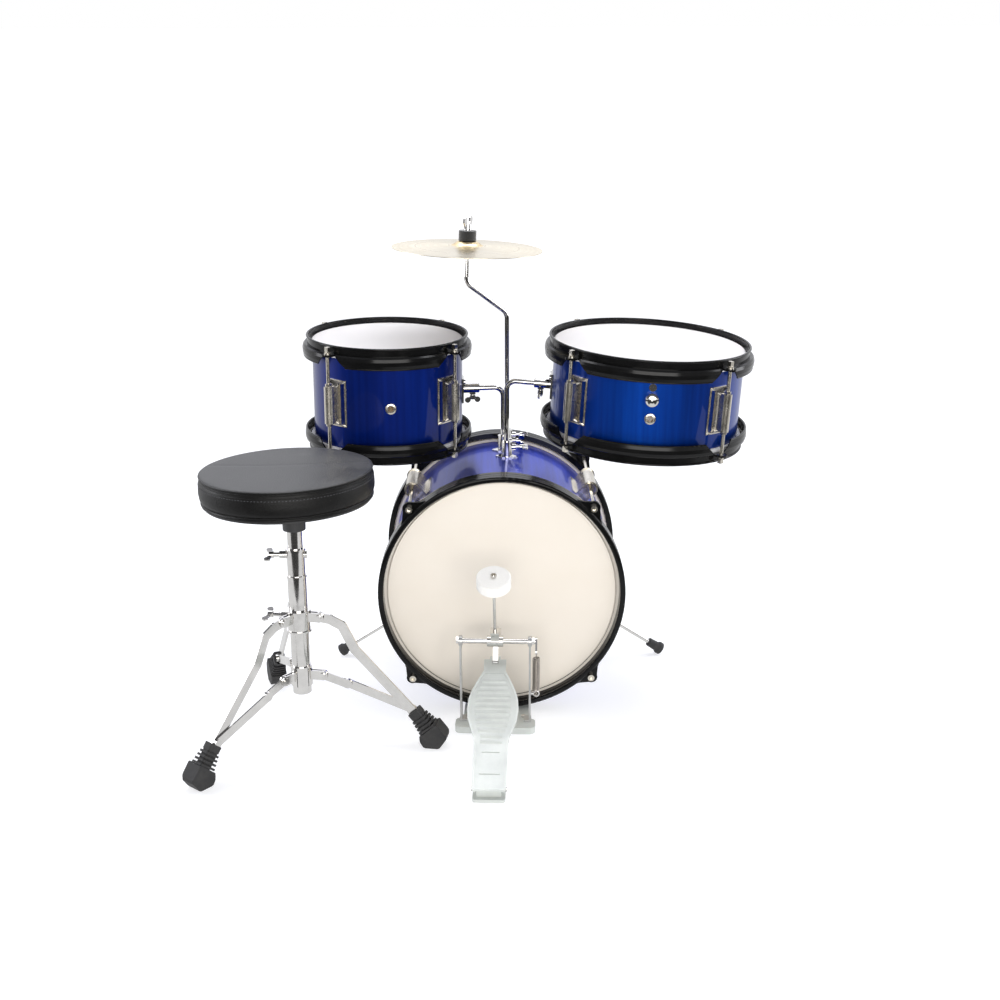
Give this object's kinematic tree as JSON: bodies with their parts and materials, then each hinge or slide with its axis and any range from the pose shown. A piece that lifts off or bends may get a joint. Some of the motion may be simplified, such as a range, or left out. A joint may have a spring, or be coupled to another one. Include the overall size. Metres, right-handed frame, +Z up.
{
  "type": "acoustic drum kit",
  "caption": "Junior acoustic drum kit with bass drum and pedal, mounted tom and snare, a cymbal on a bent rod, and a padded round stool.",
  "frame": {"origin": "on the floor, straight below the bass drum's axis at the front edge of the batter hoop, on the pedal's flat foot", "axes": "+X to the player's right, +Y away from the player, +Z up"},
  "size_m": [0.7312, 0.515, 0.6457],
  "materials": {
    "blue_wrap": "high gloss metallic blue wrap",
    "black_gloss": "gloss black lacquer",
    "cream_head": "smooth cream film",
    "white_head": "smooth white film",
    "black_metal": "gloss black enamel",
    "chrome": "polished chrome plate",
    "white_enamel": "satin pale enamel",
    "felt_white": "pressed white felt",
    "felt_black": "pressed black felt",
    "brass": "polished brass",
    "spring_steel": "bright spring wire",
    "vinyl": "grained black vinyl",
    "black_plastic": "matte black"
  },
  "bodies": {
    "bass_drum": {"bass_shell": "blue_wrap", "bass_hoops": "black_gloss", "bass_heads": "cream_head", "bass_lugs": "chrome", "bass_rods": "chrome", "rod_clamps": "chrome", "spur_brackets": "chrome", "pedal_base": "white_enamel", "pedal_frame": "chrome", "pedal_clamp": "chrome", "pedal_spring": "spring_steel"},
    "tom_clamp_screw": {"tom_clamp_screw": "chrome"},
    "tom_arm": {"tom_arm": "chrome"},
    "snare_clamp_screw": {"snare_clamp_screw": "chrome"},
    "snare_arm": {"snare_arm": "chrome"},
    "cymbal_clamp_screw": {"cymbal_clamp_screw": "chrome"},
    "cymbal_arm": {"cymbal_arm": "chrome", "cymbal_seat": "felt_white", "cymbal_felt": "felt_black"},
    "tom": {"tom_shell": "blue_wrap", "tom_rims": "black_metal", "tom_heads": "white_head", "tom_lugs": "chrome", "tom_rods": "chrome", "tom_bracket": "chrome"},
    "tom_bracket_bolt": {"tom_bracket_bolt": "chrome"},
    "snare": {"snare_shell": "blue_wrap", "snare_rims": "black_metal", "snare_heads": "white_head", "snare_lugs": "chrome", "snare_rods": "chrome", "snare_bracket": "chrome", "snare_wires": "spring_steel", "snare_muffler": "chrome"},
    "snare_bracket_bolt": {"snare_bracket_bolt": "chrome"},
    "muffler_knob": {"muffler_knob": "chrome"},
    "cymbal": {"cymbal": "brass"},
    "cymbal_wing_nut": {"cymbal_wing_nut": "chrome"},
    "spur_right": {"spur_right": "chrome"},
    "spur_bolt_right": {"spur_bolt_right": "chrome"},
    "spur_left": {"spur_left": "chrome"},
    "spur_bolt_left": {"spur_bolt_left": "chrome"},
    "footboard": {"footboard": "white_enamel"},
    "beater": {"beater_axle": "chrome", "beater_shaft": "chrome", "beater_head": "felt_white"},
    "pedal_link": {"pedal_link": "chrome"},
    "throne": {"throne_tube": "chrome"},
    "seat_post": {"throne_post": "chrome"},
    "seat": {"seat_pan": "black_plastic", "seat_cushion": "vinyl"},
    "post_bolt": {"throne_post_bolt": "chrome"},
    "throne_collar": {"throne_collar": "chrome"},
    "collar_bolt": {"throne_collar_bolt": "chrome"},
    "throne_leg_right": {"throne_leg_right": "chrome"},
    "throne_brace_right": {"throne_brace_right": "chrome"},
    "throne_leg_rear": {"throne_leg_rear": "chrome"},
    "throne_brace_rear": {"throne_brace_rear": "chrome"},
    "throne_leg_left": {"throne_leg_left": "chrome"},
    "throne_brace_left": {"throne_brace_left": "chrome"}
  },
  "joints": [
    {"name": "tom_clamp_screw_turn", "type": "hinge", "parent": "bass_drum", "child": "tom_clamp_screw", "pos_m": [0.0036, 0.169, 0.334], "axis": [1, 0, 0], "continuous": true},
    {"name": "snare_clamp_screw_turn", "type": "hinge", "parent": "bass_drum", "child": "snare_clamp_screw", "pos_m": [0.0084, 0.138, 0.334], "axis": [1, 0, 0], "continuous": true},
    {"name": "cymbal_clamp_screw_turn", "type": "hinge", "parent": "bass_drum", "child": "cymbal_clamp_screw", "pos_m": [0.0094, 0.2, 0.334], "axis": [1, 0, 0], "continuous": true},
    {"name": "tom_swivel", "type": "hinge", "parent": "bass_drum", "child": "tom_arm", "pos_m": [0.0036, 0.169, 0.33], "axis": [0, 0, 1], "range_deg": [-35, 0]},
    {"name": "snare_swivel", "type": "hinge", "parent": "bass_drum", "child": "snare_arm", "pos_m": [0.0084, 0.138, 0.33], "axis": [0, 0, 1], "range_deg": [-30, 30]},
    {"name": "cymbal_swivel", "type": "hinge", "parent": "bass_drum", "child": "cymbal_arm", "pos_m": [0.0094, 0.2, 0.33], "axis": [0, 0, 1], "range_deg": [-90, 90]},
    {"name": "tom_tilt", "type": "hinge", "parent": "tom_arm", "child": "tom", "pos_m": [0.0036, 0.169, 0.411], "axis": [-0.9912, -0.1322, 0.0105], "range_deg": [-15, 5]},
    {"name": "tom_bracket_bolt_turn", "type": "hinge", "parent": "tom", "child": "tom_bracket_bolt", "pos_m": [-0.03873, 0.16335, 0.40145], "axis": [-0.0104, -0.0014, -0.9999], "continuous": true},
    {"name": "snare_tilt", "type": "hinge", "parent": "snare_arm", "child": "snare", "pos_m": [0.0084, 0.138, 0.4281], "axis": [0.9927, -0.1061, -0.0565], "range_deg": [-5, 15]},
    {"name": "snare_bracket_bolt_turn", "type": "hinge", "parent": "snare", "child": "snare_bracket_bolt", "pos_m": [0.0544, 0.13308, 0.41546], "axis": [-0.0562, 0.006, -0.9984], "continuous": true},
    {"name": "muffler_turn", "type": "hinge", "parent": "snare", "child": "muffler_knob", "pos_m": [0.19028, -0.00898, 0.43881], "axis": [-0.0542, -0.9985, -0.003], "range_deg": [-270, 0]},
    {"name": "cymbal_spin", "type": "hinge", "parent": "cymbal_arm", "child": "cymbal", "pos_m": [-0.04413, 0.16809, 0.60675], "axis": [0.0375, 0.0223, 0.999], "continuous": true},
    {"name": "cymbal_nut_turn", "type": "hinge", "parent": "cymbal_arm", "child": "cymbal_wing_nut", "pos_m": [-0.04319, 0.16865, 0.63173], "axis": [0.0375, 0.0223, 0.999], "continuous": true},
    {"name": "spur_right_slide", "type": "slide", "parent": "bass_drum", "child": "spur_right", "axis": [0.7972, 0.1796, -0.5764], "range_m": [-0.03, 0.025]},
    {"name": "spur_bolt_right_turn", "type": "hinge", "parent": "bass_drum", "child": "spur_bolt_right", "pos_m": [0.13816, 0.16051, 0.07843], "axis": [0.2198, -0.9755, 0], "continuous": true},
    {"name": "spur_left_slide", "type": "slide", "parent": "bass_drum", "child": "spur_left", "axis": [-0.7972, 0.1796, -0.5764], "range_m": [-0.03, 0.025]},
    {"name": "spur_bolt_left_turn", "type": "hinge", "parent": "bass_drum", "child": "spur_bolt_left", "pos_m": [-0.13816, 0.16051, 0.07843], "axis": [-0.2198, -0.9755, 0], "continuous": true},
    {"name": "footboard_hinge", "type": "hinge", "parent": "bass_drum", "child": "footboard", "pos_m": [-0.01753, -0.23281, 0.013], "axis": [0.999, -0.0454, 0], "range_deg": [-4.7, 0], "stiffness_Nm_per_rad": 3, "springref_deg": 20.05},
    {"name": "beater_hinge", "type": "hinge", "parent": "bass_drum", "child": "beater", "pos_m": [-0.009, -0.045, 0.123], "axis": [0.999, -0.0454, 0], "range_deg": [-40.05, 0.2], "deforming": ["pedal_spring"]},
    {"name": "link_hinge", "type": "hinge", "parent": "footboard", "child": "pedal_link", "pos_m": [-0.00878, -0.04012, 0.08976], "axis": [0.999, -0.0454, 0], "range_deg": [-0.2, 15.2]},
    {"name": "throne_lift", "type": "slide", "parent": "bass_drum", "child": "throne", "axis": [0, 0, 1], "range_m": [0, 0.15]},
    {"name": "seat_height", "type": "slide", "parent": "throne", "child": "seat_post", "axis": [0, 0, 1], "range_m": [-0.02, 0.06]},
    {"name": "seat_swivel", "type": "hinge", "parent": "seat_post", "child": "seat", "pos_m": [-0.261, -0.068, 0.288], "axis": [0, 0, 1], "continuous": true},
    {"name": "post_bolt_turn", "type": "hinge", "parent": "throne", "child": "post_bolt", "pos_m": [-0.281, -0.068, 0.254], "axis": [-1, 0, 0], "continuous": true},
    {"name": "throne_fold", "type": "slide", "parent": "throne", "child": "throne_collar", "axis": [0, 0, -1], "range_m": [0, 0.022]},
    {"name": "collar_bolt_turn", "type": "hinge", "parent": "throne_collar", "child": "collar_bolt", "pos_m": [-0.2807, -0.06453, 0.17], "axis": [-0.9848, 0.1736, 0], "continuous": true},
    {"name": "leg_right_hinge", "type": "hinge", "parent": "throne_collar", "child": "throne_leg_right", "pos_m": [-0.23441, -0.07269, 0.17], "axis": [0.1736, 0.9848, 0], "range_deg": [-0.2, 11.06]},
    {"name": "brace_right_hinge", "type": "hinge", "parent": "throne", "child": "throne_brace_right", "pos_m": [-0.23244, -0.07304, 0.089], "axis": [0.1736, 0.9848, 0], "range_deg": [-0.2, 23.07]},
    {"name": "leg_rear_hinge", "type": "hinge", "parent": "throne_collar", "child": "throne_leg_rear", "pos_m": [-0.27024, -0.04263, 0.17], "axis": [-0.9397, -0.342, 0], "range_deg": [-0.2, 11.06]},
    {"name": "brace_rear_hinge", "type": "hinge", "parent": "throne", "child": "throne_brace_rear", "pos_m": [-0.27092, -0.04075, 0.089], "axis": [-0.9397, -0.342, 0], "range_deg": [-0.2, 23.07]},
    {"name": "leg_left_hinge", "type": "hinge", "parent": "throne_collar", "child": "throne_leg_left", "pos_m": [-0.27836, -0.08868, 0.17], "axis": [0.766, -0.6428, 0], "range_deg": [-0.2, 11.06]},
    {"name": "brace_left_hinge", "type": "hinge", "parent": "throne", "child": "throne_brace_left", "pos_m": [-0.27964, -0.09022, 0.089], "axis": [0.766, -0.6428, 0], "range_deg": [-0.2, 23.07]}
  ],
  "couplings": [
    {"joint": "beater_hinge", "follows": "footboard_hinge", "ratio": 8.4787},
    {"joint": "link_hinge", "follows": "footboard_hinge", "ratio": -3.1919},
    {"joint": "leg_right_hinge", "follows": "throne_fold", "rad_per_m": 8.6184},
    {"joint": "brace_right_hinge", "follows": "throne_fold", "rad_per_m": 18.14},
    {"joint": "leg_rear_hinge", "follows": "throne_fold", "rad_per_m": 8.6184},
    {"joint": "brace_rear_hinge", "follows": "throne_fold", "rad_per_m": 18.14},
    {"joint": "leg_left_hinge", "follows": "throne_fold", "rad_per_m": 8.6184},
    {"joint": "brace_left_hinge", "follows": "throne_fold", "rad_per_m": 18.14}
  ]
}
